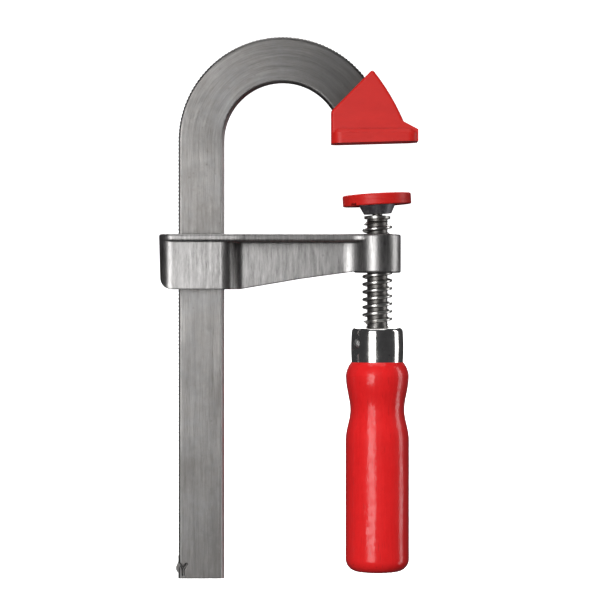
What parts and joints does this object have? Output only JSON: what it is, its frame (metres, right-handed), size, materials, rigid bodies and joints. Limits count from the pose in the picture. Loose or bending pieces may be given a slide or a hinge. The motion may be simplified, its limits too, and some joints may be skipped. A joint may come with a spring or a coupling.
{
  "type": "f clamp",
  "caption": "Hand clamp with a bent flat bar, a sliding cast arm, and a screw spindle with a swivel pad that presses work against a capped fixed jaw.",
  "frame": {"origin": "where the spindle axis meets the fixed jaw's clamping face", "axes": "+Z along the spindle axis from the moving pad up to the fixed jaw, +X from the rail towards the spindle and on outwards, +Y to the back"},
  "size_m": [0.0843, 0.0224, 0.1767],
  "materials": {
    "bar_steel": "zinc-plated rolled bar, satin, with fine lines along the bar",
    "jaw_plastic": "red moulded plastic, soft sheen",
    "zinc_casting": "tumbled zinc die casting, bright satin",
    "spindle_steel": "rolled thread, bright zinc plate",
    "ring_steel": "dark spring steel",
    "plate_steel": "dark phosphated steel",
    "pad_plastic": "red moulded plastic, soft sheen",
    "ferrule_nickel": "bright nickel plate",
    "pin_steel": "plain bright steel",
    "handle_lacquer": "red lacquered turned beech"
  },
  "bodies": {
    "frame_bar": {"rail": "bar_steel", "jaw_cap": "jaw_plastic"},
    "arm": {"sliding_arm": "zinc_casting"},
    "swivel": {"retaining_ring": "ring_steel"},
    "screw": {"spindle": "spindle_steel", "ferrule": "ferrule_nickel", "cross_pin": "pin_steel", "handle": "handle_lacquer"},
    "pad": {"pressure_plate": "plate_steel", "plate_cap": "pad_plastic"}
  },
  "joints": [
    {"name": "arm_slide", "type": "slide", "parent": "frame_bar", "child": "arm", "axis": [0, 0, 1], "range_m": [-0.0884, 0]},
    {"name": "spindle_feed", "type": "slide", "parent": "arm", "child": "swivel", "axis": [0, 0, 1], "range_m": [-0.00376, 0.01376]},
    {"name": "spindle_turn", "type": "hinge", "parent": "swivel", "child": "screw", "pos_m": [0, 0, -0.02088], "axis": [0, 0, 1], "range_deg": [-540, 1980]},
    {"name": "pad_tilt", "type": "hinge", "parent": "swivel", "child": "pad", "pos_m": [0, 0, -0.02088], "axis": [0, -1, 0], "range_deg": [-11.2, 4.8]}
  ],
  "couplings": [
    {"joint": "spindle_feed", "follows": "spindle_turn", "m_per_rad": 0.00039789}
  ]
}
